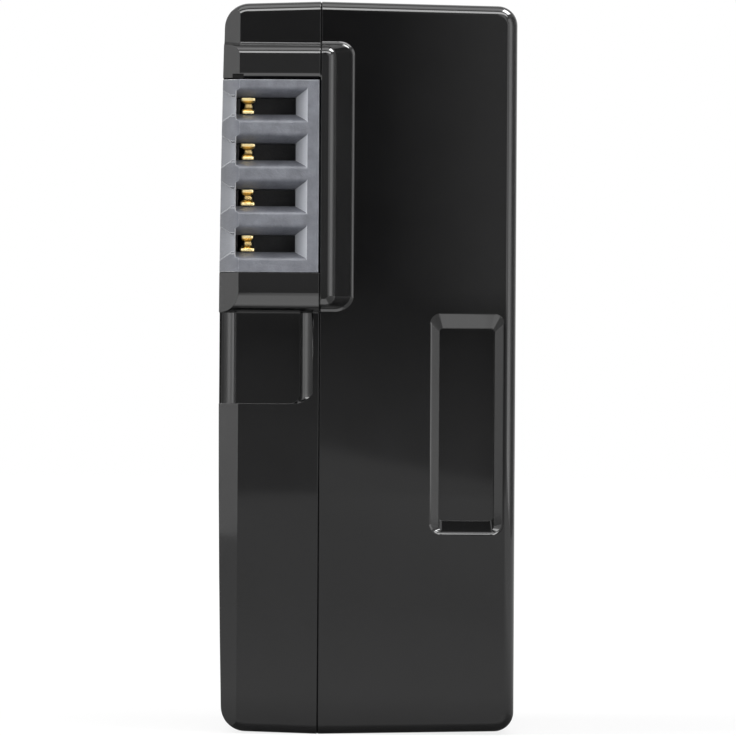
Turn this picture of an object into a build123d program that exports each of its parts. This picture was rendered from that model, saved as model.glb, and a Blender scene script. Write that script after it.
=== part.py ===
"""A camera's rechargeable battery pack: two drafted shells, a corner terminal block with four
fork contacts, and the cells and circuit board that the shells close over.

Millimetres. Seen from the terminal side, X runs to the right, Z up and Y away from the viewer.
The origin is at the middle of the pack's outer box, on the surface that it stands on.
"""

import os
from math import cos, radians, sqrt, tan

from build123d import *

# Outer body. The shells taper away from the parting line, and the cover's face is slightly crowned.
body_height = 56.0
body_depth = 39.4
cover_thickness = 7.7
case_thickness = 15.0
wall = 1.3
case_draft = 1.1
cover_draft = 1.6
cover_crown = 0.35
case_corner_radius = 1.5
cover_corner_radius = 1.9
cavity_corner_radius = 0.5
cavity_chamfer = 0.5
outline_radius = 0.78
side_chamfer = 1.5
seam_chamfer = 0.07

# Lap joint that locates the cover on the case.
lip_thickness = 0.5
lip_height = 0.5
lip_clearance = 0.06

# Terminal block and its four slots, counted from the top.
contact_count = 4
contact_pitch = 3.5
terminal_drop = 13.3
slot_height = 1.3
slot_depth = 4.1
slot_left_land = 1.25
slot_right_land = 1.9
mouth_above = 0.65
mouth_below = 0.5
mouth_right = 0.9
mouth_depth = 1.1
rib_radius = 0.25
flare_length = 0.95
flare_rise = 0.65
flare_sink = 0.35
flare_taper = 30.0
block_top_rim = 0.7
block_bottom_rim = 1.025
block_clearance = 0.12
notch_seat = 0.05
notch_lip_radius = 0.4
relief_inset = 0.95
relief_width = 0.85
relief_height = 0.3
block_side_depth = 1.9
flange_rise = 0.9
flange_overlap = 2.0

# Raised boss that frames the terminal block.
boss_height = 1.9
boss_above = 2.525
boss_below = 3.05
boss_right = 0.95
boss_top_run = 0.25
boss_bottom_run = 0.05
boss_right_run = 1.45
boss_lift = 0.4
boss_mitre_radius = 0.9
boss_edge_radius = 0.75
boss_foot_radius = 0.15
boss_heel_radius = 0.3
boss_brow_radius = 1.5

# Latch pocket in the cover, under the boss and open to the cover's face.
pocket_height = 6.95
pocket_depth = 2.0
pocket_floor = 1.0
pocket_land = 0.3
pocket_wall_radius = 1.2
pocket_corner_radius = 0.8
pocket_edge_radius = 1.3

# Long groove in the case, with a sloped shoulder round it. Its upper end lines up with the foot of the boss.
groove_drop = 0.03
groove_height = 16.7
groove_land = 0.15
groove_width = 5.54
groove_depth = 1.8
groove_floor = 1.0
groove_corner_radius = 0.7
shoulder_depth = 0.35
shoulder_side = 0.65
shoulder_top = 1.05
shoulder_bottom = 0.2
well_bottom_run = 0.68
well_draft = 0.03
well_corner_radius = 0.3
rim_radius = 0.3

# Fork contacts.
contact_stock = 0.2
contact_width = 1.36
contact_lower_width = 1.1
contact_waist = 0.5
contact_tip_radius = 0.15
contact_gap = 0.24
contact_recess = 1.0
contact_pinch = 0.75
contact_bend_radius = 0.25
contact_side_gap = 0.05
contact_inset = 0.215
tail_width = 0.6
tail_clearance = 0.1

# Circuit board and its parts.
board_space = 1.6
board_thickness = 0.8
board_edge_gap = 0.5
board_corner_radius = 0.8
board_height = 18.0
part_gap = 0.8
chip_length = 5.0
chip_width = 4.6
chip_height = 1.0
chip_chamfer = 0.15
lead_pitch = 0.65
lead_width = 0.3
lead_length = 0.6
lead_height = 0.2
switch_length = 3.0
small_length = 2.0
small_width = 1.25
small_height = 0.6
cap_length = 0.4
cap_step = 0.05

# Cells and what holds them.
cell_corner_radius = 3.0
cell_edge_chamfer = 0.4
tape_thickness = 0.4
pad_thickness = 0.4
cover_pad_thickness = 0.25
pad_margin = 7.0
base_cushion_thickness = 0.8
top_cushion_thickness = 1.2
sheet_thickness = 0.2
terminal_height = 0.4
terminal_length = 4.0
terminal_width = 2.4
weld_offset = 11.0
tab_thickness = 0.15
tab_width = 3.0
tab_drop = 2.4
sense_width = 0.8
strip_gap = 0.5
cutoff_length = 6.5
cutoff_width = 3.6
cutoff_height = 0.7
seat_gap = 0.1

# A face or an edge counts as square to an axis within this angle, and as on a plane within this distance.
square_angle = 25.0
square_on = cos(radians(square_angle))
edge_slack = 0.2

# Places that several pieces share.
case_face_x = (cover_thickness + case_thickness) / 2
cover_face_x = -case_face_x
parting_x = cover_face_x + cover_thickness
boss_front_y = -(body_depth + boss_height) / 2
front_y = boss_front_y + boss_height
back_y = front_y + body_depth
case_taper = tan(radians(case_draft))
cover_taper = tan(radians(cover_draft))
taper_loss = max(case_taper * case_thickness, cover_taper * cover_thickness)

terminal_z = body_height - terminal_drop
first_slot_z = terminal_z + contact_pitch * (contact_count - 1) / 2
slot_places = [(0, 0, first_slot_z - n * contact_pitch) for n in range(contact_count)]
last_slot_z = terminal_z - contact_pitch * (contact_count - 1) / 2
block_bottom_z = last_slot_z - slot_height / 2 - mouth_below - block_bottom_rim
block_top_z = first_slot_z + slot_height / 2 + mouth_above + block_top_rim
block_height = block_top_z - block_bottom_z
block_mid_z = (block_bottom_z + block_top_z) / 2
notch_bottom_z = block_bottom_z - notch_seat
notch_top_z = block_top_z + block_clearance
boss_bottom_z = block_bottom_z - boss_below
boss_top_z = block_top_z + boss_above
boss_foot_z = boss_bottom_z - boss_bottom_run

slot_left_x = cover_face_x + slot_left_land
slot_right_x = parting_x - slot_right_land
slot_length = slot_right_x - slot_left_x
slot_mid_x = (slot_left_x + slot_right_x) / 2

inner_front_y = front_y + wall + cover_taper * cover_thickness + block_clearance
board_front_y = front_y + wall + board_space
board_back_y = board_front_y + board_thickness
cell_front_y = board_back_y + sheet_thickness + seat_gap
cell_back_y = back_y - wall - taper_loss - seat_gap
floor_z = wall + taper_loss
cell_bottom_z = floor_z + base_cushion_thickness
tab_z = body_height - floor_z - top_cushion_thickness - tab_thickness
cell_top_z = tab_z - terminal_height
board_top_z = cell_top_z


def case_block(inset):
    """The case as a solid: its outline from the terminal side, cut to its outline from above."""
    face_x = case_face_x - inset
    rise = inset + case_taper * (face_x - parting_x)
    corner = cavity_corner_radius if inset else case_corner_radius
    with BuildPart() as block:
        with BuildSketch(Plane.XZ.offset(-back_y)) as outline:
            with BuildLine():
                Polyline(
                    (parting_x, inset),
                    (face_x, rise),
                    (face_x, body_height - rise),
                    (parting_x, body_height - inset),
                    close=True,
                )
            make_face()
            fillet(outline.vertices().group_by(Axis.X)[-1], corner)
        extrude(amount=body_depth)
        with BuildSketch(Plane.XY):
            with BuildLine():
                Polyline(
                    (parting_x, front_y + inset),
                    (face_x, front_y + rise),
                    (face_x, back_y - rise),
                    (parting_x, back_y - inset),
                    close=True,
                )
            make_face()
        extrude(amount=body_height, mode=Mode.INTERSECT)
    return block.part


def cover_outline(inset, back):
    """The cover's outline from the terminal side, crowned face and all, as a block up to the boss."""
    face_x = cover_face_x + inset
    rise = inset + cover_taper * (parting_x - face_x)
    corner = cavity_corner_radius if inset else cover_corner_radius
    with BuildPart() as block:
        with BuildSketch(Plane.XZ.offset(-back)) as outline:
            with BuildLine():
                Polyline(
                    (face_x + cover_crown, rise),
                    (parting_x, inset),
                    (parting_x, body_height - inset),
                    (face_x + cover_crown, body_height - rise),
                )
                ThreePointArc(
                    (face_x + cover_crown, body_height - rise),
                    (face_x, body_height / 2),
                    (face_x + cover_crown, rise),
                )
            make_face()
            fillet(outline.vertices().group_by(Axis.X)[0], corner)
        extrude(amount=back - boss_front_y)
    return block.part


def cover_block(inset, chamfer_width):
    """The cover as a solid: its outline from the terminal side, cut to its outline from above."""
    face_x = cover_face_x + inset
    rise = inset + cover_taper * (parting_x - face_x)
    outline = cover_outline(inset, back_y)
    with BuildPart() as block:
        add(outline)
        with BuildSketch(Plane.XY):
            with BuildLine():
                Polyline(
                    (parting_x, front_y + inset),
                    (face_x + chamfer_width, front_y + rise),
                    (face_x, front_y + rise + chamfer_width),
                    (face_x, back_y - rise - chamfer_width),
                    (face_x + chamfer_width, back_y - rise),
                    (parting_x, back_y - inset),
                    close=True,
                )
            make_face()
        extrude(amount=body_height, mode=Mode.INTERSECT)
    return block.part


case_solid = case_block(0)
case_hollow = case_block(wall)
cover_solid = cover_block(0, side_chamfer)
cover_hollow = cover_block(wall, cavity_chamfer)
boss_root_y = front_y + wall
boss_steps = (boss_root_y - boss_front_y) / boss_height

# The boss seen from the side: sloped above and below, and rooted in the shells' front walls.
with BuildPart() as boss_side:
    with BuildSketch(Plane.YZ.offset(cover_face_x)):
        with BuildLine():
            Polyline(
                (boss_front_y, boss_bottom_z),
                (boss_front_y, boss_top_z),
                (boss_root_y, boss_top_z + boss_top_run * boss_steps),
                (boss_root_y, boss_bottom_z - boss_bottom_run * boss_steps),
                close=True,
            )
        make_face()
    extrude(amount=cover_thickness + case_thickness)

# The case's end of the boss slopes down to the right, stops a little higher and has rounded mitres.
with BuildPart() as case_boss:
    add(boss_side.part)
    with BuildSketch(Plane.XY.offset(boss_foot_z + boss_lift)):
        with BuildLine():
            Polyline(
                (parting_x, boss_front_y),
                (parting_x + boss_right, boss_front_y),
                (parting_x + boss_right + boss_right_run * boss_steps, boss_root_y),
                (parting_x, boss_root_y),
                close=True,
            )
        make_face()
    extrude(amount=body_height, mode=Mode.INTERSECT)
    mitres = case_boss.edges().filter_by(
        lambda e: min(abs(e.tangent_at(0.5).X), abs(e.tangent_at(0.5).Y)) > 1 - square_on
    )
    fillet(mitres, boss_mitre_radius)
    boss_face = case_boss.faces().sort_by(Axis.Y)[0]
    fillet(boss_face.edges().filter_by(lambda e: e.center().X > parting_x + edge_slack), boss_edge_radius)

# Deep half of the pack, with the long groove. Its inner edge carries the lip of the lap joint.
boss_foot_x = parting_x + boss_right + boss_right_run
groove_right_x = case_face_x - outline_radius - groove_land
groove_left_x = groove_right_x - groove_width
groove_mid_x = (groove_left_x + groove_right_x) / 2 - parting_x
groove_mid_z = boss_foot_z - groove_drop - groove_height / 2
groove_floor_y = front_y + case_taper * (groove_right_x - parting_x) + groove_depth
groove_face = Plane(
    origin=(parting_x, front_y, 0), x_dir=(1, case_taper, 0), z_dir=(case_taper, -1, 0)
)
well_width = groove_width - 2 * shoulder_side
well_height = groove_height - shoulder_top - shoulder_bottom
well_mid_z = groove_mid_z + (shoulder_bottom - shoulder_top) / 2
swell_left_x = groove_left_x - groove_floor
swell_right_x = case_face_x - wall / 2
lip_gap_height = block_height + 2 * (flange_rise + block_clearance)
with BuildPart() as case:
    add(case_solid)
    ends = ShapeList([case.faces().sort_by(Axis.Y)[0], case.faces().sort_by(Axis.Y)[-1]])
    fillet(ends.edges().filter_by(lambda e: e.center().X > parting_x + edge_slack), outline_radius)
    add(case_boss.part)
    front = case.faces().filter_by(GeomType.PLANE).filter_by(
        lambda f: f.normal_at().Y < -square_on and f.center().Y > front_y - edge_slack
    )
    foot = front.edges().filter_by(
        lambda e: parting_x + edge_slack < e.center().X < boss_foot_x + boss_right_run
        and boss_foot_z - boss_below < e.center().Z < boss_top_z + boss_above
    )
    fillet(foot, boss_heel_radius)
    chamfer(case.faces().sort_by(Axis.X)[0].outer_wire().edges(), seam_chamfer)
    add(case_hollow, mode=Mode.SUBTRACT)
    with BuildSketch(Plane.XZ.offset(-groove_floor_y - groove_floor)):
        with Locations(((swell_left_x + swell_right_x) / 2, groove_mid_z)):
            Rectangle(swell_right_x - swell_left_x, groove_height + 2 * groove_floor)
    extrude(amount=groove_depth)
    with BuildSketch(groove_face):
        with Locations((groove_mid_x, groove_mid_z)):
            RectangleRounded(groove_width, groove_height, groove_corner_radius)
    with BuildSketch(groove_face.offset(-shoulder_depth)):
        with Locations((groove_mid_x, well_mid_z)):
            RectangleRounded(well_width, well_height, well_corner_radius)
    with BuildSketch(groove_face.offset(-groove_depth)):
        with Locations((groove_mid_x, well_mid_z + (well_bottom_run - well_draft) / 2)):
            RectangleRounded(
                well_width - 2 * well_draft, well_height - well_bottom_run - well_draft, well_corner_radius
            )
    loft(ruled=True, mode=Mode.SUBTRACT)
    groove_rim = case.faces().filter_by(GeomType.PLANE).sort_by(Axis.Y).filter_by(
        lambda f: f.normal_at().Y < -square_on and len(f.inner_wires()) > 0
    )[0].inner_wires()[0].edges()
    fillet(groove_rim, rim_radius)
    with BuildSketch(Plane.YZ.offset(parting_x)):
        with Locations(((front_y + back_y) / 2, body_height / 2)):
            Rectangle(
                body_depth - 2 * (wall - lip_thickness), body_height - 2 * (wall - lip_thickness)
            )
            Rectangle(body_depth - 2 * wall, body_height - 2 * wall, mode=Mode.SUBTRACT)
        with Locations((front_y + wall, block_mid_z)):
            Rectangle(2 * wall, lip_gap_height, mode=Mode.SUBTRACT)
    extrude(amount=-lip_height)
case.part.label = "case"

# The cover's share of the boss runs out to the chamfered side of the cover.
cover_edge = cover_outline(0, boss_root_y)
with BuildPart() as cover_boss:
    add(boss_side.part)
    with BuildSketch(Plane.XY):
        with BuildLine():
            Polyline(
                (parting_x, boss_front_y),
                (cover_face_x + side_chamfer, boss_front_y),
                (cover_face_x, boss_front_y + side_chamfer),
                (cover_face_x, boss_root_y),
                (parting_x, boss_root_y),
                close=True,
            )
        make_face()
    extrude(amount=body_height, mode=Mode.INTERSECT)
    add(cover_edge, mode=Mode.INTERSECT)
    boss_face = cover_boss.faces().sort_by(Axis.Y)[0]
    fillet(boss_face.edges().filter_by(Axis.X).sort_by(Axis.Z)[-1], boss_edge_radius)
    boss_face = cover_boss.faces().sort_by(Axis.Y)[0]
    fillet(boss_face.edges().filter_by(Axis.X).sort_by(Axis.Z)[0], boss_brow_radius)

# Shallow half of the pack, with the latch pocket and the corner notch for the terminal block.
pocket_top_z = boss_foot_z
pocket_bottom_z = pocket_top_z - pocket_height
pocket_floor_y = front_y + pocket_depth
pocket_right_x = parting_x - pocket_land
pocket_wall_x = pocket_right_x - pocket_wall_radius
pocket_wall_y = front_y + pocket_wall_radius
with BuildPart() as pocket:
    with BuildSketch(Plane.XY.offset(pocket_bottom_z)):
        with BuildLine():
            Polyline(
                (cover_face_x, pocket_floor_y + pocket_edge_radius),
                (cover_face_x - wall, pocket_floor_y + pocket_edge_radius),
                (cover_face_x - wall, boss_front_y),
                (pocket_right_x, boss_front_y),
                (pocket_right_x, front_y),
            )
            RadiusArc((pocket_right_x, front_y), (pocket_wall_x, pocket_wall_y), pocket_wall_radius)
            Polyline(
                (pocket_wall_x, pocket_wall_y),
                (pocket_wall_x, pocket_floor_y),
                (cover_face_x + pocket_edge_radius, pocket_floor_y),
            )
            RadiusArc(
                (cover_face_x + pocket_edge_radius, pocket_floor_y),
                (cover_face_x, pocket_floor_y + pocket_edge_radius),
                -pocket_edge_radius,
            )
        make_face()
    extrude(amount=pocket_height)
    pocket_corner = pocket.faces().sort_by(Axis.Z)[0].edges().filter_by(
        lambda e: e.center().X > pocket_wall_x - seat_gap and e.center().Y > front_y
    )
    fillet(pocket_corner, pocket_corner_radius)
with BuildPart() as cover:
    add(cover_solid)
    ends = ShapeList([cover.faces().sort_by(Axis.Y)[0], cover.faces().sort_by(Axis.Y)[-1]])
    fillet(ends.edges().filter_by(Axis.Z, reverse=True), outline_radius)
    add(cover_boss.part)
    foot = cover.edges().filter_by(
        lambda e: abs(e.tangent_at(0.5).X) > square_on
        and abs(e.center().Z - boss_top_z - boss_top_run) < edge_slack
        and abs(e.center().Y - front_y) < edge_slack
    )
    fillet(foot, boss_foot_radius)
    chamfer(cover.faces().sort_by(Axis.X)[-1].outer_wire().edges(), seam_chamfer)
    add(cover_hollow, mode=Mode.SUBTRACT)
    with BuildSketch(Plane.XZ.offset(-pocket_floor_y - pocket_floor)):
        with Locations(((cover_face_x + wall + parting_x) / 2, pocket_top_z - pocket_height / 2)):
            Rectangle(cover_thickness - wall, pocket_height + 2 * pocket_floor)
    extrude(amount=pocket_depth)
    add(pocket.part, mode=Mode.SUBTRACT)
    with BuildSketch(Plane.YZ.offset(parting_x)):
        with Locations(((front_y + back_y) / 2, body_height / 2)):
            Rectangle(
                body_depth - 2 * (wall - lip_thickness - lip_clearance),
                body_height - 2 * (wall - lip_thickness - lip_clearance),
            )
    extrude(amount=-lip_height - lip_clearance, mode=Mode.SUBTRACT)
    with BuildSketch(Plane.XZ.offset(-front_y - block_side_depth - block_clearance)):
        with Locations(((cover_face_x + parting_x) / 2, (notch_bottom_z + notch_top_z) / 2)):
            Rectangle(cover_thickness + 2 * wall, notch_top_z - notch_bottom_z)
    extrude(amount=body_depth, mode=Mode.SUBTRACT)
    with BuildSketch(Plane.XZ.offset(-front_y)):
        with Locations((cover_face_x + relief_inset + relief_width / 2, notch_top_z)):
            Rectangle(relief_width, 2 * relief_height)
    extrude(amount=body_depth, mode=Mode.SUBTRACT)
    notch_lip = cover.edges().filter_by(
        lambda e: abs(e.center().Y - boss_front_y) < edge_slack
        and abs(e.center().Z - notch_top_z) < edge_slack
        and e.length > side_chamfer
    )
    fillet(notch_lip, notch_lip_radius)
cover.part.label = "cover"

# Lead-in cut at the outer end of a slot, sunk along the block's chamfered edge. Drawn at slot height zero.
flare_reach = side_chamfer + flare_sink
slant = sqrt(2)
flare_bed = Plane(
    origin=(cover_face_x, boss_front_y + flare_reach, 0), x_dir=(1, -1, 0), z_dir=(-1, -1, 0)
)
with BuildPart() as flare:
    with BuildSketch(flare_bed):
        with BuildLine():
            Polyline(
                (slot_left_land * slant, slot_height / 2),
                (flare_length * slant, slot_height / 2),
                (0, slot_height / 2 + flare_rise),
                (-flare_sink, slot_height / 2 + flare_rise),
                (-flare_sink, -slot_height / 2 - flare_rise),
                (0, -slot_height / 2 - flare_rise),
                (flare_length * slant, -slot_height / 2),
                (slot_left_land * slant, -slot_height / 2),
                close=True,
            )
        make_face()
    extrude(amount=flare_reach / slant, taper=-flare_taper)

# One slot with its funnel mouth and the hole for the contact's tail. Drawn at slot height zero.
slot_back_y = boss_front_y + slot_depth
contact_x = slot_left_x + contact_inset + contact_width / 2
with BuildPart() as slot:
    with BuildSketch(Plane.XZ.offset(-boss_front_y)):
        with Locations((slot_mid_x + mouth_right / 2, (mouth_above - mouth_below) / 2)):
            Rectangle(slot_length + mouth_right, slot_height + mouth_above + mouth_below)
    with BuildSketch(Plane.XZ.offset(-boss_front_y - mouth_depth)) as throat:
        with Locations((slot_mid_x, 0)):
            Rectangle(slot_length, slot_height)
    loft()
    extrude(throat.sketch, amount=mouth_depth - slot_depth)
    with BuildSketch(Plane.XZ.offset(-slot_back_y)):
        with Locations((contact_x, 0)):
            Rectangle(tail_width + tail_clearance, contact_stock + tail_clearance)
    extrude(amount=slot_back_y - board_front_y)

# Grey corner block, flush with the boss and with the cover's face, behind a flange that both shells trap.
flange_left_x = cover_face_x + wall + cover_crown + block_clearance
flange_right_x = parting_x + flange_overlap
block_edge = cover_outline(0, front_y + block_side_depth)


def block_edge_clear(z):
    """Whether a height on the block's front lies inside its top and bottom edges."""
    return block_bottom_z + seat_gap < z < block_top_z - seat_gap


with BuildPart() as terminal_block:
    with BuildSketch(Plane.XY.offset(block_bottom_z)):
        with BuildLine():
            Polyline(
                (parting_x - block_clearance, boss_front_y),
                (cover_face_x + side_chamfer, boss_front_y),
                (cover_face_x, boss_front_y + side_chamfer),
                (cover_face_x, front_y + block_side_depth),
                (parting_x - block_clearance, front_y + block_side_depth),
                close=True,
            )
        make_face()
    extrude(amount=block_height)
    add(block_edge, mode=Mode.INTERSECT)
    with BuildSketch(Plane.XZ.offset(-board_front_y)):
        with Locations(((flange_left_x + flange_right_x) / 2, block_mid_z)):
            Rectangle(flange_right_x - flange_left_x, block_height + 2 * flange_rise)
    extrude(amount=board_front_y - inner_front_y)
    with Locations(*slot_places):
        add(slot.part, mode=Mode.SUBTRACT)
    ribs = terminal_block.edges().filter_by(Axis.X).filter_by(
        lambda e: abs(e.center().Y - boss_front_y) < seat_gap and block_edge_clear(e.center().Z)
    )
    fillet(ribs, rib_radius)
    with Locations(*slot_places):
        add(flare.part, mode=Mode.SUBTRACT)
terminal_block.part.label = "terminal_block"

# Fork contact: two sprung tines with flared tips, waisted where they grip, and a tail to the board.
# The lower two contacts are fitted the other way up.
tine_out = slot_height / 2 - contact_side_gap
tine_in = tine_out - contact_stock
grip_in = contact_gap / 2
grip_out = grip_in + contact_stock
tip_y = boss_front_y + contact_recess
grip_y = tip_y + contact_pinch
base_y = slot_back_y - contact_stock


def tine(side, tip_width):
    """One sprung tine, above the blade for side 1 and below it for side -1, with half of the base plate."""
    with BuildPart() as spring:
        with BuildSketch(Plane.YZ.offset(contact_x - contact_width / 2)) as profile:
            with BuildLine():
                Polyline(
                    (slot_back_y, 0),
                    (slot_back_y, side * tine_out),
                    (grip_y, side * grip_out),
                    (tip_y, side * tine_out),
                    (tip_y, side * tine_in),
                    (grip_y, side * grip_in),
                    (base_y, side * tine_in),
                    (base_y, 0),
                    close=True,
                )
            make_face()
            bends = profile.vertices().filter_by(lambda v: abs(v.X - grip_y) < seat_gap)
            fillet(bends, contact_bend_radius)
        extrude(amount=contact_width)
        with BuildSketch(Plane.XY.offset(-contact_pitch / 2)) as waisted:
            with BuildLine():
                Polyline(
                    (contact_x + tip_width / 2, tip_y),
                    (contact_x + contact_waist / 2, grip_y),
                    (contact_x + contact_waist / 2, slot_back_y),
                    (contact_x - contact_waist / 2, slot_back_y),
                    (contact_x - contact_waist / 2, grip_y),
                    (contact_x - tip_width / 2, tip_y),
                    close=True,
                )
            make_face()
            fillet(waisted.vertices().group_by(Axis.Y)[0], contact_tip_radius)
        extrude(amount=contact_pitch, mode=Mode.INTERSECT)
    return spring.part


upper_tine = tine(1, contact_width)
lower_tine = tine(-1, contact_lower_width)
with BuildPart() as fork:
    add(upper_tine)
    add(lower_tine)
    with BuildSketch(Plane.XZ.offset(-slot_back_y)):
        with Locations((contact_x, 0)):
            Rectangle(tail_width, contact_stock)
    extrude(amount=slot_back_y - board_back_y)
turned_fork = fork.part.rotate(Axis((contact_x, 0, 0), (0, 1, 0)), 180)
forks = []
for number, place in enumerate(slot_places, 1):
    way_up = fork.part if number <= contact_count / 2 else turned_fork
    contact = way_up.moved(Location(place))
    contact.label = f"fork_contact_{number}"
    forks.append(contact)

# Protection board. It stands behind the terminal block, and the four tails pass through it.
board_left_x = cover_face_x + wall + cover_crown + board_edge_gap
board_right_x = case_face_x - wall - board_edge_gap
board_mid_x = (board_left_x + board_right_x) / 2
board_bottom_z = board_top_z - board_height
board_mid_z = board_top_z - board_height / 2
with BuildPart() as circuit_board:
    with BuildSketch(Plane.XZ.offset(-board_back_y)):
        with Locations((board_mid_x, board_mid_z)):
            RectangleRounded(board_right_x - board_left_x, board_height, board_corner_radius)
        with Locations((contact_x, terminal_z)):
            with GridLocations(1, contact_pitch, 1, contact_count):
                Rectangle(
                    tail_width + tail_clearance, contact_stock + tail_clearance, mode=Mode.SUBTRACT
                )
    extrude(amount=board_thickness)
circuit_board.part.label = "circuit_board"


def leaded_chip(label, left_x, bottom_z, length, width):
    """A moulded chip on the board's front, with a row of flat leads above and below."""
    with BuildPart() as chip:
        with BuildSketch(Plane.XZ.offset(-board_front_y)):
            with Locations((left_x + length / 2, bottom_z + width / 2)):
                Rectangle(length, width - 2 * lead_length)
        extrude(amount=chip_height)
        chamfer(chip.faces().sort_by(Axis.Y)[0].edges(), chip_chamfer)
        with BuildSketch(Plane.XZ.offset(-board_front_y)):
            with Locations((left_x + length / 2, bottom_z + width / 2)):
                with GridLocations(lead_pitch, 1, int(length / lead_pitch), 1):
                    Rectangle(lead_width, width)
        extrude(amount=lead_height)
    chip.part.label = label
    return chip.part


def end_capped(label, left_x, bottom_z):
    """A small surface-mounted part on the board's front, with a plated cap on each end."""
    with BuildPart() as small:
        with BuildSketch(Plane.XZ.offset(-board_front_y)):
            with Locations((left_x + small_width / 2, bottom_z + small_length / 2)):
                Rectangle(small_width, small_length)
        extrude(amount=small_height - cap_step)
        with BuildSketch(Plane.XZ.offset(-board_front_y)):
            with Locations((left_x + small_width / 2, bottom_z + small_length / 2)):
                with GridLocations(1, small_length - cap_length, 1, 2):
                    Rectangle(small_width, cap_length)
        extrude(amount=small_height)
    small.part.label = label
    return small.part


parts_left_x = flange_right_x + part_gap
chip_row_z = board_bottom_z + part_gap
small_row_z = chip_row_z + chip_width + part_gap
board_parts = [
    leaded_chip("protection_chip", parts_left_x, chip_row_z, chip_length, chip_width),
    leaded_chip(
        "switch_chip", parts_left_x + chip_length + part_gap, chip_row_z, switch_length, chip_width
    ),
]
for number, label in enumerate(("sense_resistor", "thermistor", "fuse", "capacitor")):
    left_x = parts_left_x + number * (small_width + part_gap)
    board_parts.append(end_capped(label, left_x, small_row_z))

with BuildPart() as board_insulator:
    with BuildSketch(Plane.XZ.offset(-board_back_y - sheet_thickness)):
        with Locations((board_mid_x, board_mid_z)):
            RectangleRounded(board_right_x - board_left_x, board_height, board_corner_radius)
    extrude(amount=sheet_thickness)
board_insulator.part.label = "board_insulator"

# Two flat cells side by side. The can is one pole, and the riveted terminal on its cap is the other.
stack_left_x = cover_face_x + wall + cover_crown + seat_gap
stack_right_x = case_face_x - wall - pad_thickness
cell_thickness = (stack_right_x - stack_left_x - tape_thickness) / 2
cell_width = cell_back_y - cell_front_y
cell_height = cell_top_z - cell_bottom_z
cell_mid_y = (cell_front_y + cell_back_y) / 2
cover_cell_x = stack_left_x + cell_thickness / 2
case_cell_x = stack_right_x - cell_thickness / 2
stack_mid_x = (stack_left_x + stack_right_x) / 2


def cell(label, cell_x, weld_y):
    """A sealed flat cell with a riveted terminal in the middle of its cap and a weld pad to one side."""
    with BuildPart() as can:
        with BuildSketch(Plane.XY.offset(cell_bottom_z)):
            with Locations((cell_x, cell_mid_y)):
                RectangleRounded(cell_thickness, cell_width, cell_corner_radius)
        extrude(amount=cell_height)
        chamfer(can.faces().filter_by(Axis.Z).edges(), cell_edge_chamfer)
        with BuildSketch(Plane.XY.offset(cell_top_z)):
            with Locations((cell_x, cell_mid_y), (cell_x, weld_y)):
                Rectangle(terminal_width, terminal_length)
        extrude(amount=terminal_height)
    can.part.label = label
    return can.part


cover_weld_y = cell_mid_y + weld_offset
case_weld_y = cell_mid_y - weld_offset
cells = [
    cell("cell_cover_side", cover_cell_x, cover_weld_y),
    cell("cell_case_side", case_cell_x, case_weld_y),
]


def pad(label, left_x, thickness):
    """A flat pad or tape that stands on edge beside a cell."""
    with BuildPart() as sheet:
        with BuildSketch(Plane.YZ.offset(left_x)):
            with Locations((cell_mid_y, (cell_bottom_z + cell_top_z) / 2)):
                Rectangle(cell_width - 2 * pad_margin, cell_height - 2 * pad_margin)
        extrude(amount=thickness)
    sheet.part.label = label
    return sheet.part


pads = [
    pad("cell_tape", cover_cell_x + cell_thickness / 2, tape_thickness),
    pad("case_pad", stack_right_x, pad_thickness),
    pad("cover_pad", stack_left_x - cover_pad_thickness, cover_pad_thickness),
]

with BuildPart() as base_cushion:
    with BuildSketch(Plane.XY.offset(floor_z)):
        with Locations((stack_mid_x, cell_mid_y)):
            Rectangle(2 * cell_thickness - cell_corner_radius, cell_width - cell_corner_radius)
    extrude(amount=base_cushion_thickness)
base_cushion.part.label = "base_cushion"

with BuildPart() as cap_insulator:
    with BuildSketch(Plane.XY.offset(cell_top_z)):
        with Locations((stack_mid_x, cell_mid_y)):
            Rectangle(2 * cell_thickness - cell_corner_radius, cell_width - cell_corner_radius)
        with Locations(
            (cover_cell_x, cell_mid_y),
            (cover_cell_x, cover_weld_y),
            (case_cell_x, cell_mid_y),
            (case_cell_x, case_weld_y),
        ):
            Rectangle(
                terminal_width + 2 * seat_gap, terminal_length + 2 * seat_gap, mode=Mode.SUBTRACT
            )
    extrude(amount=sheet_thickness)
cap_insulator.part.label = "cap_insulator"


def board_end(strip_x, strip_width, from_y):
    """The end of a welded strip, bent down over the front of the board."""
    mid_z = tab_z + tab_thickness / 2
    with BuildPart() as strip:
        with BuildSketch(Plane.YZ.offset(strip_x - strip_width / 2)):
            with BuildLine():
                FilletPolyline(
                    (from_y, mid_z),
                    (board_front_y - tab_thickness / 2, mid_z),
                    (board_front_y - tab_thickness / 2, mid_z - tab_drop),
                    radius=tab_thickness,
                )
            trace(line_width=tab_thickness)
        extrude(amount=strip_width)
    return strip.part


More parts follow.
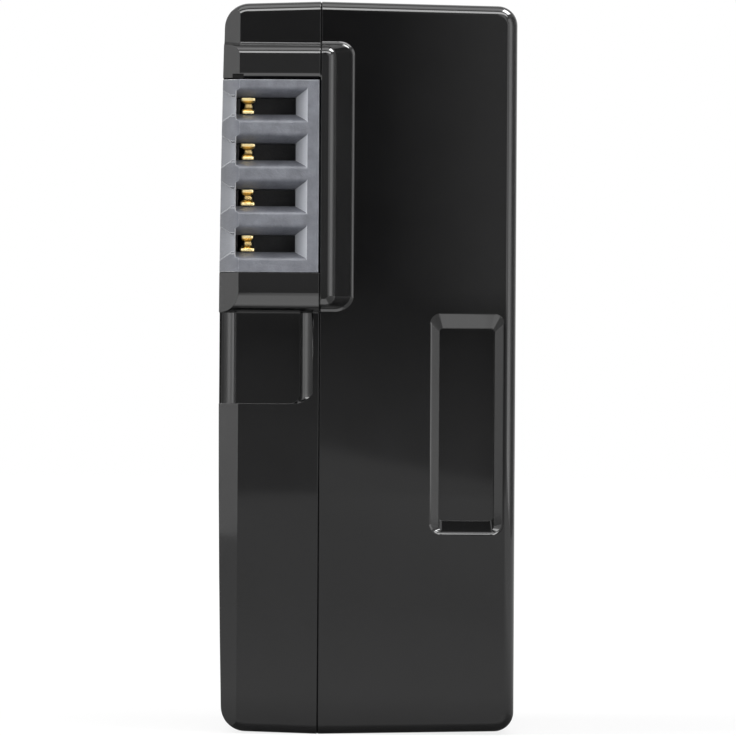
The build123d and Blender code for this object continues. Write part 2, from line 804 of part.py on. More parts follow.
# Welded nickel strips: one from each end of the pair of cells, the link between them, and a sense strip.
negative_x = flange_right_x + part_gap + tab_width / 2
sense_x = case_cell_x + tab_width / 2 + strip_gap + sense_width / 2
turn_y = cell_front_y + cell_corner_radius
link_edge_y = cell_mid_y + terminal_length / 2
negative_end = board_end(negative_x, tab_width, turn_y)
positive_end = board_end(case_cell_x, tab_width, case_weld_y)
sense_end = board_end(sense_x, sense_width, link_edge_y)
with BuildPart() as negative_tab:
    add(negative_end)
    with BuildSketch(Plane.XY.offset(tab_z)):
        with BuildLine():
            Polyline(
                (cover_cell_x - tab_width / 2, cell_mid_y + terminal_length / 2),
                (cover_cell_x - tab_width / 2, turn_y),
                (negative_x + tab_width / 2, turn_y),
                (negative_x + tab_width / 2, turn_y + tab_width),
                (cover_cell_x + tab_width / 2, turn_y + tab_width),
                (cover_cell_x + tab_width / 2, cell_mid_y + terminal_length / 2),
                close=True,
            )
        make_face()
    extrude(amount=tab_thickness)
negative_tab.part.label = "negative_tab"

with BuildPart() as positive_tab:
    add(positive_end)
    with BuildSketch(Plane.XY.offset(tab_z)):
        with Locations((case_cell_x, case_weld_y)):
            Rectangle(tab_width, terminal_length)
    extrude(amount=tab_thickness)
positive_tab.part.label = "positive_tab"

with BuildPart() as series_link:
    with BuildSketch(Plane.XY.offset(tab_z)):
        with BuildLine():
            Polyline(
                (case_cell_x + tab_width / 2, cell_mid_y - terminal_length / 2),
                (case_cell_x + tab_width / 2, link_edge_y),
                (sense_x + sense_width / 2, link_edge_y),
                (sense_x + sense_width / 2, link_edge_y + tab_width),
                (stack_mid_x + tab_width / 2, link_edge_y + tab_width),
                (stack_mid_x + tab_width / 2, cover_weld_y + tab_width / 2),
                (cover_cell_x - tab_width / 2, cover_weld_y + tab_width / 2),
                (cover_cell_x - tab_width / 2, cover_weld_y - tab_width / 2),
                (stack_mid_x - tab_width / 2, cover_weld_y - tab_width / 2),
                (stack_mid_x - tab_width / 2, link_edge_y),
                (case_cell_x - tab_width / 2, link_edge_y),
                (case_cell_x - tab_width / 2, cell_mid_y - terminal_length / 2),
                close=True,
            )
        make_face()
    extrude(amount=tab_thickness)
series_link.part.label = "series_link"

sense_end.label = "sense_tab"

# Heat-operated cut-off on the positive strip.
cutoff_z = tab_z + tab_thickness
cutoff_y = (turn_y + case_weld_y) / 2
with BuildPart() as thermal_cutoff:
    with BuildSketch(Plane.XY.offset(cutoff_z)):
        with Locations((case_cell_x, cutoff_y)):
            Rectangle(cutoff_width, cutoff_length)
    extrude(amount=cutoff_height)
    chamfer(thermal_cutoff.faces().sort_by(Axis.Z)[-1].edges(), chip_chamfer)
thermal_cutoff.part.label = "thermal_cutoff"

# Foam over the strips, with a window round the cut-off.
with BuildPart() as top_cushion:
    with BuildSketch(Plane.XY.offset(cutoff_z)):
        with Locations((stack_mid_x, cell_mid_y)):
            Rectangle(2 * cell_thickness - cell_corner_radius, cell_width - cell_corner_radius)
        with Locations((case_cell_x, cutoff_y)):
            Rectangle(cutoff_width + 2 * seat_gap, cutoff_length + 2 * seat_gap, mode=Mode.SUBTRACT)
    extrude(amount=top_cushion_thickness)
top_cushion.part.label = "top_cushion"

os.makedirs("parts", exist_ok=True)
for piece in (
    case.part,
    cover.part,
    terminal_block.part,
    *forks,
    circuit_board.part,
    *board_parts,
    board_insulator.part,
    *cells,
    *pads,
    base_cushion.part,
    cap_insulator.part,
    negative_tab.part,
    positive_tab.part,
    series_link.part,
    sense_end,
    thermal_cutoff.part,
    top_cushion.part,
):
    export_step(piece, f"parts/{piece.label}.step")
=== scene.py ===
from math import cos, pi, radians, sin

import bpy
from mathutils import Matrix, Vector


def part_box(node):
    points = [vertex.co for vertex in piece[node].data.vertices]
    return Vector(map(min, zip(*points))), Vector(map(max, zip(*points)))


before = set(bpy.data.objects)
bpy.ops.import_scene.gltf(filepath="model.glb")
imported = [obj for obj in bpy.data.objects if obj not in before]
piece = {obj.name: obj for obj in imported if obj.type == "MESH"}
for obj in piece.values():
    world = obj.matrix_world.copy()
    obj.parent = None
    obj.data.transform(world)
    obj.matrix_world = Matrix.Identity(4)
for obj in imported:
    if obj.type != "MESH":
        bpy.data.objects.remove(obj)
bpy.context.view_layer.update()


# Two flat lithium-ion cells stand side by side in the pack. Each can is deep-drawn aluminium, so faint
# lines run up its walls, and the riveted pole and the weld pad on its cap are nickel-plated.
def start_finish(name):
    """A new material, with its nodes and its shader."""
    material = bpy.data.materials.new(name)
    material.use_nodes = True
    nodes = material.node_tree.nodes
    return material, nodes, nodes["Principled BSDF"]


def start_group(name, inputs, outputs):
    """A shader node group, with its nodes, what it is given and the node that takes its outcome. Each
    input is a name, a kind of socket and a value to start from, and each output a name and a kind."""
    group = bpy.data.node_groups.new(name, "ShaderNodeTree")
    for label, kind, value in inputs:
        socket = group.interface.new_socket(label, in_out="INPUT", socket_type=kind)
        socket.default_value = value
    for label, kind in outputs:
        group.interface.new_socket(label, in_out="OUTPUT", socket_type=kind)
    nodes = group.nodes
    return group, nodes, nodes.new("NodeGroupInput").outputs, nodes.new("NodeGroupOutput")


def feed(node, **values):
    """Sets a node's inputs by name, each to a value or to what another node puts out, and returns it."""
    for label, value in values.items():
        entry = node.inputs[label.replace("_", " ")]
        if isinstance(value, bpy.types.NodeSocket):
            node.id_data.links.new(value, entry)
        else:
            entry.default_value = value
    return node


def place_group(nodes, group, **values):
    """What a group puts out in a material, with its inputs set by name."""
    placed = nodes.new("ShaderNodeGroup")
    placed.node_tree = group
    return feed(placed, **values).outputs


def place_on(nodes):
    """The place on the piece, in the frame that all the pieces share."""
    return nodes.new("ShaderNodeTexCoord").outputs["Object"]


def axes_of(vector):
    """The X, Y and Z of a place or a direction."""
    return feed(vector.id_data.nodes.new("ShaderNodeSeparateXYZ"), Vector=vector).outputs


def stretch_of(place, factors):
    """The place, stretched along X, Y and Z."""
    node = place.id_data.nodes.new("ShaderNodeVectorMath")
    node.operation = "MULTIPLY"
    for entry, vector in zip(node.inputs, (place, factors)):
        node.id_data.links.new(vector, entry)
    return node.outputs["Vector"]


def noise_of(place, **values):
    """Soft noise from 0 to 1, with its inputs set by name."""
    return feed(place.id_data.nodes.new("ShaderNodeTexNoise"), Vector=place, **values).outputs["Fac"]


def ramp_of(source, *stops):
    """A colour for each value of the source, between stops that are each a value and a colour."""
    ramp = feed(source.id_data.nodes.new("ShaderNodeValToRGB"), Fac=source)
    elements = ramp.color_ramp.elements
    while len(elements) < len(stops):
        elements.new(0.5)
    for element, (place, colour) in zip(elements, stops):
        element.position = place
        element.color = (*colour, 1.0)
    return ramp.outputs["Color"]


def range_of(source, from_pair, to_pair):
    """The source, carried from one pair of values to another and held beyond them."""
    (low, high), (to_low, to_high) = from_pair, to_pair
    node = source.id_data.nodes.new("ShaderNodeMapRange")
    feed(node, Value=source, From_Min=low, From_Max=high, To_Min=to_low, To_Max=to_high)
    return node.outputs["Result"]


def mix_of(factor, first, second):
    """A blend of two colours, each a node's output or red, green and blue, from the first to the second."""
    mix = factor.id_data.nodes.new("ShaderNodeMix")
    mix.data_type = "RGBA"
    first, second = [(*c, 1.0) if isinstance(c, tuple) else c for c in (first, second)]
    return feed(mix, Factor=factor, A=first, B=second).outputs["Result"]


def bump_of(height, strength, depth, sunk=False, **base):
    """The normal of a surface with relief that stands out, or is sunk. Normal=... is the surface's own."""
    bump = height.id_data.nodes.new("ShaderNodeBump")
    bump.invert = sunk
    return feed(bump, Height=height, Strength=strength, Distance=depth, **base).outputs["Normal"]


def dress(material, *names):
    """Gives these CAD nodes the material in place of the plain one that they arrive with."""
    for name in names:
        piece[name].material_slots[0].material = material


drawn_lines, nodes, given, outcome = start_group(
    "drawn_lines",
    [("Stretch", "NodeSocketVector", (1.0, 1.0, 1.0))],
    [("Line", "NodeSocketFloat"), ("Cloud", "NodeSocketFloat")],
)
place = place_on(nodes)
feed(
    outcome,
    Line=noise_of(stretch_of(place, given["Stretch"]), Scale=1.0, Detail=4.0),
    Cloud=noise_of(place, Scale=180.0, Detail=3.0),
)

pole_height, pole_blend = 0.0004, 0.00002
nickel_plate = (0.62, 0.58, 0.52)
cell_can, nodes, shader = start_finish("cell_can")
lines = place_group(nodes, drawn_lines, Stretch=(9000.0, 9000.0, 120.0))
cap_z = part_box("cell_case_side")[1].z - pole_height
plated = range_of(axes_of(place_on(nodes))["Z"], (cap_z, cap_z + pole_blend), (0.0, 1.0))
metal = ramp_of(lines["Line"], (0.25, (0.62, 0.63, 0.65)), (0.75, (0.78, 0.79, 0.81)))
feed(
    shader,
    Base_Color=mix_of(plated, metal, nickel_plate),
    Roughness=range_of(lines["Cloud"], (0.3, 0.7), (0.26, 0.4)),
    Normal=bump_of(lines["Line"], strength=0.15, depth=0.00002),
    Metallic=1.0,
)
dress(cell_can, "cell_cover_side", "cell_case_side")


# White double-sided tape holds the cells to each other and to the shells. It is a thin film with a fine
# woven scrim, and the glue shows through as faint grey clouds.
def maths(operation, *terms):
    """The outcome of a sum, whose terms are outputs of nodes or numbers. The first is an output."""
    node = terms[0].id_data.nodes.new("ShaderNodeMath")
    node.operation = operation
    for entry, term in zip(node.inputs, terms):
        if isinstance(term, bpy.types.NodeSocket):
            node.id_data.links.new(term, entry)
        else:
            entry.default_value = term
    return node.outputs["Value"]


def thread_of(place, direction):
    """Rows of thread that follow each other along one axis."""
    thread = place.id_data.nodes.new("ShaderNodeTexWave")
    thread.bands_direction = direction
    return feed(thread, Vector=place, Scale=900.0, Distortion=0.6).outputs["Fac"]


tape_white, nodes, shader = start_finish("tape_white")
place = place_on(nodes)
weave = maths("MAXIMUM", thread_of(place, "Y"), thread_of(place, "Z"))
glue = place_group(nodes, drawn_lines, Stretch=(400.0, 400.0, 400.0))
feed(
    shader,
    Base_Color=ramp_of(glue["Cloud"], (0.3, (0.70, 0.70, 0.68)), (0.7, (0.82, 0.82, 0.80))),
    Normal=bump_of(weave, strength=0.3, depth=0.00003),
    Roughness=0.55,
)
dress(tape_white, "cell_tape", "case_pad", "cover_pad")


# Cushions of closed-cell foam, cut from sheet, take up the play below and above the cells.
# Cut bubbles show as small pits on every side, painted darker inside as painted shade.
def spots_of(place, **values):
    """The distance from the nearest of many small spots, with the inputs set by name."""
    return feed(place.id_data.nodes.new("ShaderNodeTexVoronoi"), Vector=place, **values).outputs["Distance"]


foam_grey, nodes, shader = start_finish("foam_grey")
bubbles = spots_of(place_on(nodes), Scale=3500.0)
feed(
    shader,
    Base_Color=ramp_of(bubbles, (0.1, (0.05, 0.05, 0.055)), (0.55, (0.13, 0.13, 0.14))),
    Normal=bump_of(bubbles, strength=0.6, depth=0.0001),
    Roughness=0.9,
)
dress(foam_grey, "base_cushion", "top_cushion")


# Insulators of pressed paper lie on the cell caps and behind the board. Short fibres run through the
# sheet every way, and a few darker flecks with them.
fleck_brown = (0.30, 0.25, 0.17)
insulating_sheet, nodes, shader = start_finish("insulating_sheet")
fibres = place_group(nodes, drawn_lines, Stretch=(6000.0, 2500.0, 900.0))
fleck = range_of(noise_of(place_on(nodes), Scale=2600.0), (0.62, 0.7), (0.0, 0.45))
paper = ramp_of(fibres["Line"], (0.3, (0.52, 0.46, 0.33)), (0.7, (0.66, 0.60, 0.46)))
feed(
    shader,
    Base_Color=mix_of(fleck, paper, fleck_brown),
    Normal=bump_of(fibres["Line"], strength=0.25, depth=0.00003),
    Roughness=0.8,
)
dress(insulating_sheet, "cap_insulator", "board_insulator")


# Strips of rolled nickel, spot-welded to the cells and soldered to the board, join the two cells.
# The rolling leaves fine lines along them, and each weld leaves a small dull dimple.
weld_grey = (0.36, 0.34, 0.31)
nickel_strip, nodes, shader = start_finish("nickel_strip")
lines = place_group(nodes, drawn_lines, Stretch=(12000.0, 300.0, 12000.0))
weld = range_of(spots_of(place_on(nodes), Scale=700.0, Randomness=0.0), (0.18, 0.28), (1.0, 0.0))
rolled = ramp_of(lines["Line"], (0.3, (0.55, 0.53, 0.49)), (0.7, (0.70, 0.68, 0.63)))
feed(
    shader,
    Base_Color=mix_of(weld, rolled, weld_grey),
    Roughness=range_of(weld, (0.0, 1.0), (0.28, 0.55)),
    Normal=bump_of(weld, strength=0.4, depth=0.00005, sunk=True),
    Metallic=1.0,
)
dress(nickel_strip, "negative_tab", "positive_tab", "series_link", "sense_tab")


# The protection board is glass laminate under green solder mask, and the copper tracks below it show as
# slightly paler lines with rounded corners.
board_green, nodes, shader = start_finish("board_green")
upright = feed(nodes.new("ShaderNodeMapping"), Vector=place_on(nodes), Rotation=(radians(90), 0.0, 0.0))
tracks = feed(
    nodes.new("ShaderNodeTexBrick"),
    Vector=upright.outputs["Vector"],
    Scale=420.0,
    Mortar_Size=0.035,
    Mortar_Smooth=0.3,
    Color1=(0.016, 0.115, 0.05, 1.0),
    Color2=(0.02, 0.14, 0.06, 1.0),
    Mortar=(0.06, 0.24, 0.10, 1.0),
)
feed(
    shader,
    Base_Color=tracks.outputs["Color"],
    Normal=bump_of(tracks.outputs["Fac"], strength=0.4, depth=0.00003),
    Roughness=0.3,
)
dress(board_green, "circuit_board")


# Two leaded chips and the heat-operated cut-off are moulded in black epoxy with a fine silver fleck.
# The chips' flat leads are tinned, and stand out past the body above and below.
moulded_grain, nodes, given, outcome = start_group(
    "moulded_grain",
    [("Grain Scale", "NodeSocketFloat", 5000.0), ("Mottle Scale", "NodeSocketFloat", 300.0)],
    [("Grain", "NodeSocketFloat"), ("Mottle", "NodeSocketFloat")],
)
place = place_on(nodes)
feed(
    outcome,
    Grain=noise_of(place, Scale=given["Grain Scale"], Detail=2.0),
    Mottle=noise_of(place, Scale=given["Mottle Scale"], Detail=5.0, Roughness=0.6),
)

lead_length = 0.0006
lead_tin = (0.72, 0.71, 0.69)


def epoxy_finish(name, low_z, high_z):
    """Black epoxy between two heights, and tinned leads beyond them."""
    material, nodes, shader = start_finish(name)
    texture = place_group(nodes, moulded_grain, Grain_Scale=9000.0, Mottle_Scale=900.0)
    height = axes_of(place_on(nodes))["Z"]
    lead = maths("MAXIMUM", maths("LESS_THAN", height, low_z), maths("GREATER_THAN", height, high_z))
    epoxy = ramp_of(
        texture["Grain"],
        (0.3, (0.016, 0.016, 0.017)),
        (0.68, (0.03, 0.03, 0.032)),
        (0.75, (0.10, 0.10, 0.10)),
    )
    feed(
        shader,
        Base_Color=mix_of(lead, epoxy, lead_tin),
        Roughness=range_of(lead, (0.0, 1.0), (0.55, 0.3)),
        Metallic=lead,
    )
    return material


chip_low, chip_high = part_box("protection_chip")
chip_black = epoxy_finish("chip_black", chip_low.z + lead_length, chip_high.z - lead_length)
dress(chip_black, "protection_chip", "switch_chip")
cutoff_low, cutoff_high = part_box("thermal_cutoff")
cutoff_black = epoxy_finish("cutoff_black", cutoff_low.z - lead_length, cutoff_high.z + lead_length)
dress(cutoff_black, "thermal_cutoff")


# The four small parts are fired ceramic blocks with a tinned cap on each end, soldered flat to the board.
# The glaze of each kind has its own colour.
cap_length, cap_blend = 0.0004, 0.00002
cap_tin = (0.74, 0.73, 0.70)
glazes = {
    "sense_resistor": (0.03, 0.03, 0.035),
    "thermistor": (0.05, 0.16, 0.09),
    "fuse": (0.62, 0.60, 0.52),
    "capacitor": (0.42, 0.29, 0.17),
}
for name, glaze in glazes.items():
    low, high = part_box(name)
    small_part, nodes, shader = start_finish("small_part_" + name)
    texture = place_group(nodes, moulded_grain, Grain_Scale=7000.0, Mottle_Scale=1500.0)
    height = axes_of(place_on(nodes))["Z"]
    from_middle = maths("ABSOLUTE", maths("SUBTRACT", height, (low.z + high.z) / 2))
    cap_start = (high.z - low.z) / 2 - cap_length
    cap = range_of(from_middle, (cap_start - cap_blend, cap_start), (0.0, 1.0))
    darker, paler = [0.8 * c for c in glaze], [1.15 * c for c in glaze]
    fired = ramp_of(texture["Mottle"], (0.3, darker), (0.7, paler))
    feed(shader, Base_Color=mix_of(cap, fired, cap_tin), Metallic=cap, Roughness=0.35)
    dress(small_part, name)


# Four fork contacts, stamped from sprung bronze strip and plated with gold. Each has two tines that
# pinch the blade, and a tail that is soldered through the board. Rolling lines run along the tines.
rounded_edge, nodes, given, outcome = start_group(
    "rounded_edge",
    [("Radius", "NodeSocketFloat", 0.0001)],
    [("Normal", "NodeSocketVector"), ("Edge", "NodeSocketFloat")],
)
softened = feed(nodes.new("ShaderNodeBevel"), Radius=given["Radius"])
softened.samples = 6
surface = nodes.new("ShaderNodeNewGeometry")
agreement = nodes.new("ShaderNodeVectorMath")
agreement.operation = "DOT_PRODUCT"
for entry, normal in zip(agreement.inputs, (softened.outputs["Normal"], surface.outputs["Normal"])):
    rounded_edge.links.new(normal, entry)
feed(
    outcome,
    Normal=softened.outputs["Normal"],
    Edge=range_of(agreement.outputs["Value"], (0.985, 0.85), (0.0, 1.0)),
)

contact_gold, nodes, shader = start_finish("contact_gold")
lines = place_group(nodes, drawn_lines, Stretch=(16000.0, 500.0, 4000.0))
rounded = place_group(nodes, rounded_edge, Radius=0.00006)
feed(
    shader,
    Base_Color=ramp_of(lines["Line"], (0.25, (0.82, 0.62, 0.27)), (0.75, (0.98, 0.85, 0.50))),
    Roughness=range_of(lines["Cloud"], (0.3, 0.7), (0.2, 0.34)),
    Normal=bump_of(lines["Line"], strength=0.12, depth=0.00001, Normal=rounded["Normal"]),
    Metallic=1.0,
)
dress(contact_gold, "fork_contact_1", "fork_contact_2", "fork_contact_3", "fork_contact_4")


# The terminal block is one matt grey nylon moulding with a fine spark-eroded grain, trapped between the
# shells. Its left-facing lead-ins and its edges are painted paler as painted light, thin white painted
# highlights run along the lead-in edges, and painted shade darkens the slots inwards.
# Painted light: the zone near the block's left end where faces turned to the left are painted paler.
lit_from, lit_to = -0.0099, -0.0112
keen_from, keen_to = lit_from - 0.0001, lit_from - 0.0004
tip_depth = -0.0305
sunk_from, sunk_to = tip_depth + 0.00005, tip_depth + 0.0003
# Painted shade: where the darkening of the slots starts, where the throat begins and where it ends.
shade_start, throat_depth, shade_end = 0.0001, 0.0011, 0.0040
# A painted-light grey, a painted-highlight white and a painted-shade black.
lit_side_grey, glint_white, painted_shade_black = (0.40, 0.415, 0.45), (0.85, 0.86, 0.88), (0.006, 0.0064, 0.0075)
block_grey, nodes, shader = start_finish("block_grey")
texture = place_group(nodes, moulded_grain, Grain_Scale=7000.0, Mottle_Scale=900.0)
rounded = place_group(nodes, rounded_edge, Radius=0.00012)
place = axes_of(place_on(nodes))
facing = axes_of(nodes.new("ShaderNodeNewGeometry").outputs["Normal"])
nylon = ramp_of(texture["Mottle"], (0.32, (0.068, 0.072, 0.086)), (0.68, (0.112, 0.118, 0.138)))

# Painted light: faces turned to the left, on the lead-ins and their sunk beds, are painted paler, as if lit
# more from the left.
turned_left = range_of(facing["X"], (-0.2, -0.65), (0.0, 1.0))
lit_zone = range_of(place["X"], (lit_from, lit_to), (0.0, 0.4))
sunk = range_of(maths("ADD", place["X"], place["Y"]), (sunk_from, sunk_to), (0.0, 0.8))
lead_in = maths("MULTIPLY", turned_left, maths("MAXIMUM", lit_zone, sunk))
# Painted highlights: every edge is painted paler by the mottle, and the edges near the block's left end are
# painted white.
keen = range_of(place["X"], (keen_from, keen_to), (0.0, 1.0))
sharp = maths("MAXIMUM", texture["Mottle"], keen)
painted_light = maths("MULTIPLY_ADD", rounded["Edge"], sharp, lead_in)
edge_glint = maths("MULTIPLY", rounded["Edge"], keen)
glinted = mix_of(edge_glint, mix_of(painted_light, nylon, lit_side_grey), glint_white)

front_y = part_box("terminal_block")[0].y
# Painted shade: the colour darkens towards black inwards from the front of the block, through the funnels
# and down the throats of the slots.
funnel_shade = range_of(place["Y"], (front_y + shade_start, front_y + throat_depth), (1.0, 0.5))
throat_shade = range_of(place["Y"], (front_y + throat_depth, front_y + shade_end), (1.0, 0.3))
feed(
    shader,
    Base_Color=mix_of(maths("MULTIPLY", funnel_shade, throat_shade), painted_shade_black, glinted),
    Roughness=range_of(texture["Grain"], (0.35, 0.65), (0.5, 0.62)),
    Normal=bump_of(texture["Grain"], strength=0.6, depth=0.00004, Normal=rounded["Normal"]),
)
dress(block_grey, "terminal_block")


# Case and cover are glossy black mouldings of the same plastic, welded along the parting line. The
# polished tool leaves them smooth, with a slight waviness, and handling adds a faint haze.
shell_black, nodes, shader = start_finish("shell_black")
texture = place_group(nodes, moulded_grain, Grain_Scale=14000.0, Mottle_Scale=260.0)
rounded = place_group(nodes, rounded_edge, Radius=0.00003)
swell = noise_of(place_on(nodes), Scale=70.0, Detail=0.0)
feed(
    shader,
    Base_Color=ramp_of(texture["Mottle"], (0.3, (0.0030, 0.0030, 0.0031)), (0.7, (0.0042, 0.0042, 0.0044))),
    Roughness=range_of(texture["Mottle"], (0.35, 0.7), (0.018, 0.03)),
    Normal=bump_of(swell, strength=0.5, depth=0.000006, Normal=rounded["Normal"]),
    IOR=1.52,
)
dress(shell_black, "case", "cover")


# The pack stands on a wide pale table, which shows white to the camera and keeps a faint shadow. In the
# glossy shells it shows a painted reflection: a painted shadow darkens it round the pack's foot, and
# painted light brightens it to the right and close before the front.
floor_half_width, floor_reach = 2.4, 1.72
pack_half_width, pack_half_depth = 0.0113, 0.0188
camera_white = 1.04
paper_glow = 0.72
patch_front, patch_side = (-0.0185, -0.0205), (0.004, 0.0)
foot_reach, contact_reach = (0.0, 0.09), (0.0002, 0.012)
glow_reach, shadow_reach = (0.03, 0.25), (0.06, 0.4)
bpy.ops.object.select_all(action="DESELECT")
bpy.ops.mesh.primitive_plane_add(size=2.0, location=(0.0, 0.0, 0.0))
floor = bpy.context.object
floor.name = "table"
floor.scale = (floor_half_width, floor_reach, 1.0)
bpy.ops.object.transform_apply(location=True, rotation=True, scale=True)
table_pale, nodes, shader = start_finish("table_pale")
feed(shader, Base_Color=(0.8, 0.8, 0.8, 1.0), Roughness=0.8)
seen = nodes.new("ShaderNodeLightPath").outputs
straight = maths("MAXIMUM", seen["Is Camera Ray"], seen["Is Transmission Ray"])
facing = nodes.new("ShaderNodeLayerWeight").outputs["Facing"]
place = axes_of(place_on(nodes))
beside = maths("SUBTRACT", maths("ABSOLUTE", place["X"]), pack_half_width)
ahead = maths("SUBTRACT", maths("ABSOLUTE", place["Y"]), pack_half_depth)
apart = maths("MAXIMUM", beside, ahead)

# Painted reflection: for mirrored rays the table glows brighter in a patch before the front, towards the
# right and at steep angles, and a painted shadow darkens it round the pack's foot.
in_front = range_of(place["Y"], patch_front, (0.0, 1.0))
in_line = range_of(beside, patch_side, (0.0, 1.0))
patch = maths("MULTIPLY", in_front, in_line)
sheen = range_of(facing, (0.95, 0.65), (0.0, 1.9))
paper = maths("MULTIPLY_ADD", sheen, patch, paper_glow)
side_glow = range_of(place["X"], glow_reach, (1.0, 1.7))
bounced = maths("MULTIPLY", paper, side_glow)
foot_shade = range_of(apart, foot_reach, (0.58, 1.0))
steep = range_of(facing, (0.95, 0.85), (0.0, 1.0))
contact_shade = range_of(apart, contact_reach, (0.06, 1.0))
darkened = maths("MULTIPLY", maths("MAXIMUM", foot_shade, steep), contact_shade)
mirrored = maths("MULTIPLY", bounced, darkened)

whiteness = maths("MULTIPLY", straight, camera_white)
strength = maths("MULTIPLY_ADD", seen["Is Glossy Ray"], mirrored, whiteness)
white = feed(nodes.new("ShaderNodeEmission"), Strength=strength)
whitened = range_of(apart, shadow_reach, (0.8, 1.0))
share = maths("MULTIPLY", maths("MAXIMUM", straight, seen["Is Glossy Ray"]), whitened)
paled = nodes.new("ShaderNodeMixShader")
for entry, source in zip(paled.inputs, (share, shader.outputs["BSDF"], white.outputs["Emission"])):
    table_pale.node_tree.links.new(source, entry)
feed(nodes["Material Output"], Surface=paled.outputs["Shader"])
floor.data.materials.append(table_pale)


# A dark cloth flag hangs behind the camera, so that the glossy front mirrors black above the table. It
# glows with painted light in upright bands, on its hem, and in a pale wedge that slopes down along the
# hem's right.
flag_y = -1.434
flag_width, flag_height = 0.9, 0.8
bands = (
    (-0.11, 0.15), (-0.085, 0.17), (-0.034, 0.37), (-0.008, 0.37), (0.03, 0.01),
    (0.055, 0.01), (0.082, 0.44), (0.11, 0.5), (0.2, 1.2), (0.4, 2.0),
)
band_foot, brightest_band = 0.6, 2.0
band_rise, hem_fall = (0.036, 0.046), (0.052, 0.012)
wedge_slope, wedge_side = 0.178, (0.02, 0.03)
wedge_top, wedge_full, wedge_glow = 0.0190, 0.0178, 0.68


def add_card(name, centre, turn, size_x, size_y):
    """A flat card of that size, turned and in place, which the camera doesn't see."""
    bpy.ops.object.select_all(action="DESELECT")
    bpy.ops.mesh.primitive_plane_add(size=1.0, location=centre, rotation=turn)
    card = bpy.context.object
    card.name = name
    card.scale = (size_x, size_y, 1.0)
    bpy.ops.object.transform_apply(location=True, rotation=True, scale=True)
    card.visible_camera = False
    return card


flag = add_card(
    "dark_flag", (0.0, flag_y, flag_height / 2), (radians(90), 0.0, 0.0), flag_width, flag_height
)
flag_cloth, nodes, shader = start_finish("flag_cloth")
place = axes_of(place_on(nodes))
run = range_of(place["X"], (-flag_width / 2, flag_width / 2), (0.0, 1.0))
band = ramp_of(run, *[(0.5 + x / flag_width, [glow / brightest_band] * 3) for x, glow in bands])
upper = maths("MULTIPLY", band, range_of(place["Z"], band_rise, (band_foot, brightest_band)))
hem = range_of(place["Z"], hem_fall, (0.04, 0.35))
wedge_rise = maths("MULTIPLY_ADD", place["X"], wedge_slope, place["Z"])
wedge = range_of(wedge_rise, (wedge_top, wedge_full), (0.0, wedge_glow))
glowing_wedge = maths("MULTIPLY", wedge, range_of(place["X"], wedge_side, (0.0, 1.0)))
feed(
    shader,
    Base_Color=(0.01, 0.01, 0.01, 1.0),
    Roughness=0.9,
    Emission_Color=(1.0, 1.0, 1.0, 1.0),
    Emission_Strength=maths("MAXIMUM", maths("MAXIMUM", upper, hem), glowing_wedge),
)
flag.data.materials.append(flag_cloth)


# A long white card stands on each side, glowing unevenly along its length with painted light, so that the
# edges of the glossy shells mirror soft gradients.
card_reach = 0.9
card_front, card_back, card_height = -2.3, 0.7, 0.6
card_foot = 0.05


def glowing_card(name, side, hem, *stops):
    """A card that glows towards the pack. Each stop is a place along Y and a brightness, and hem is the
    share of it that is left at the card's foot."""
    length = card_back - card_front
    centre = (side * card_reach, (card_front + card_back) / 2, card_height / 2)
    card = add_card(name, centre, (0.0, radians(90), 0.0), card_height, length)
    finish, nodes, shader = start_finish(name)
    place = axes_of(place_on(nodes))
    run = range_of(place["Y"], (card_front, card_back), (0.0, 1.0))
    brightest = max(brightness for _, brightness in stops)
    glow = [((y - card_front) / length, [brightness / brightest] * 3) for y, brightness in stops]
    feed(
        shader,
        Base_Color=(0.4, 0.4, 0.4, 1.0),
        Roughness=0.9,
        Emission_Color=ramp_of(run, *glow),
        Emission_Strength=range_of(place["Z"], (0.0, card_foot), (hem * brightest, brightest)),
    )
    card.data.materials.append(finish)


glowing_card(
    "left_card", -1, 0.72,
    (-2.2, 0.4), (-1.44, 0.6), (-0.87, 0.85), (-0.6, 1.2), (-0.4, 2.3),
    (-0.2, 2.3), (0.0, 1.1), (0.25, 1.7), (0.6, 1.2),
)
glowing_card(
    "right_card", 1, 1.2,
    (-2.2, 1.9), (-1.7, 2.6), (-0.75, 2.6), (-0.6, 1.1), (-0.5, 1.0),
    (-0.25, 0.2), (0.35, 0.2), (0.55, 0.9),
)


# A soft box high on the left lights the block's lead-ins, a bright one hangs above the camera a little to
# the right, and a wide one hangs over the table.
pack_middle = Vector((0.0, 0.0, 0.028))


def way_to(bearing, rise):
    """The way from the pack to a lamp. Bearing runs from the camera's side to the right, and rise up from
    the table, both in degrees."""
    level = cos(radians(rise))
    return Vector((sin(radians(bearing)) * level, -cos(radians(bearing)) * level, sin(radians(rise))))


def turn_back(way):
    """The turn that makes a lamp or a card out that way face the pack."""
    return (-way).to_track_quat("-Z", "Y").to_euler()


def soft_box(name, bearing, rise, away, width, height, radiance):
    """An area lamp of that brightness, turned to face the pack."""
    lamp = bpy.data.lights.new(name, "AREA")
    lamp.shape = "RECTANGLE"
    lamp.size, lamp.size_y = width, height
    lamp.energy = radiance * pi * width * height
    way = way_to(bearing, rise)
    holder = bpy.data.objects.new(name, lamp)
    holder.location = pack_middle + away * way
    holder.rotation_euler = turn_back(way)
    bpy.context.scene.collection.objects.link(holder)


soft_box("left_high_box", bearing=-68.0, rise=44.0, away=1.0, width=0.5, height=0.4, radiance=6.0)
soft_box("key_box", bearing=14.0, rise=41.0, away=1.0, width=0.75, height=0.28, radiance=5.5)
soft_box("top_box", bearing=0.0, rise=80.0, away=0.85, width=0.9, height=0.5, radiance=2.2)
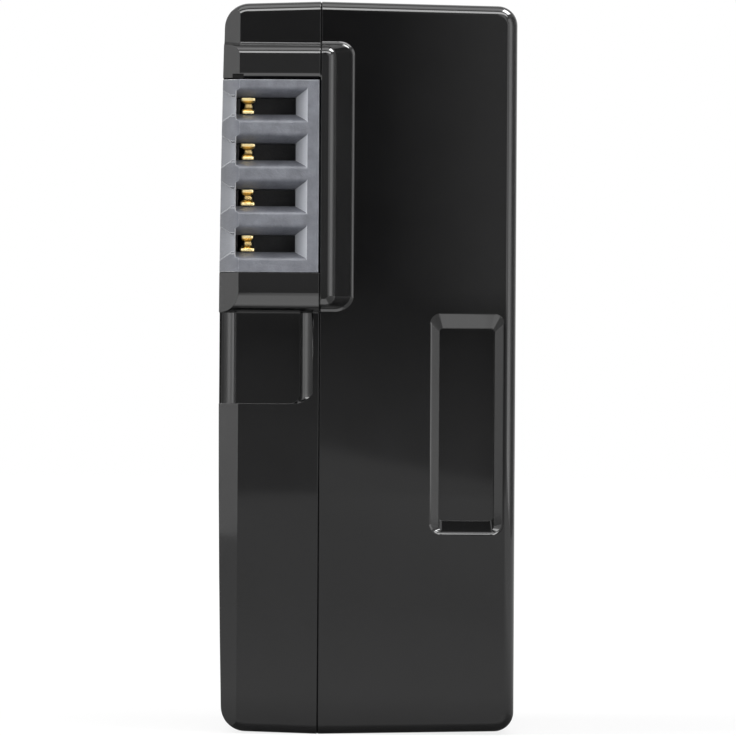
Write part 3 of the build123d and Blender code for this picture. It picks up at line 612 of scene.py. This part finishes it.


# Two small white cards hang in front of the lamps and glow, seen only in mirrored rays. They glow bright
# enough to draw the lines along the boss and the spot on its corner, and they light nothing else.
def glossy_glow_card(name, bearing, rise, away, width, height, radiance):
    """A glowing card turned to face the pack, that only mirrored rays see."""
    way = way_to(bearing, rise)
    card = add_card(name, pack_middle + away * way, turn_back(way), width, height)
    card.visible_diffuse = card.visible_shadow = card.visible_transmission = False
    finish, nodes, shader = start_finish(name)
    feed(
        shader,
        Base_Color=(0.0, 0.0, 0.0, 1.0),
        Emission_Color=(1.0, 1.0, 1.0, 1.0),
        Emission_Strength=radiance,
    )
    card.data.materials.append(finish)


glossy_glow_card("edge_strip", bearing=4.0, rise=38.0, away=0.95, width=0.9, height=0.34, radiance=9.5)
glossy_glow_card("corner_spot", bearing=80.0, rise=58.0, away=0.8, width=0.44, height=0.34, radiance=26.0)


# The room round the stage is white to the camera and in gloss and glass. On matt surfaces it is only a
# low, even fill.
room_fill = 0.25
world = bpy.data.worlds.new("studio")
bpy.context.scene.world = world
world.use_nodes = True
nodes = world.node_tree.nodes
seen = nodes.new("ShaderNodeLightPath").outputs
either = maths("MAXIMUM", seen["Is Camera Ray"], seen["Is Glossy Ray"])
any_of = maths("MAXIMUM", either, seen["Is Transmission Ray"])
feed(
    nodes["Background"],
    Strength=range_of(any_of, (0.0, 1.0), (room_fill, 1.0)),
    Color=(1.0, 1.0, 1.0, 1.0),
)


# The camera looks square on at the terminal side from well back, through a long lens, level with the
# middle of the pack and with a trace of roll.
camera_back = 0.75
frame_height = 0.05623
sensor_width = 36.0
eye_x, eye_z, eye_roll = 0.00007, 0.0280, -0.35
eye = bpy.data.cameras.new("eye")
eye.sensor_width = sensor_width
eye.lens = sensor_width * camera_back / frame_height
eye.clip_start, eye.clip_end = 0.05, 20.0
eye_holder = bpy.data.objects.new("eye", eye)
eye_holder.location = (eye_x, -pack_half_depth - camera_back, eye_z)
eye_holder.rotation_euler = (radians(90), radians(eye_roll), 0.0)
bpy.context.scene.collection.objects.link(eye_holder)
bpy.context.scene.camera = eye_holder
bpy.context.scene.view_settings.view_transform = "Standard"
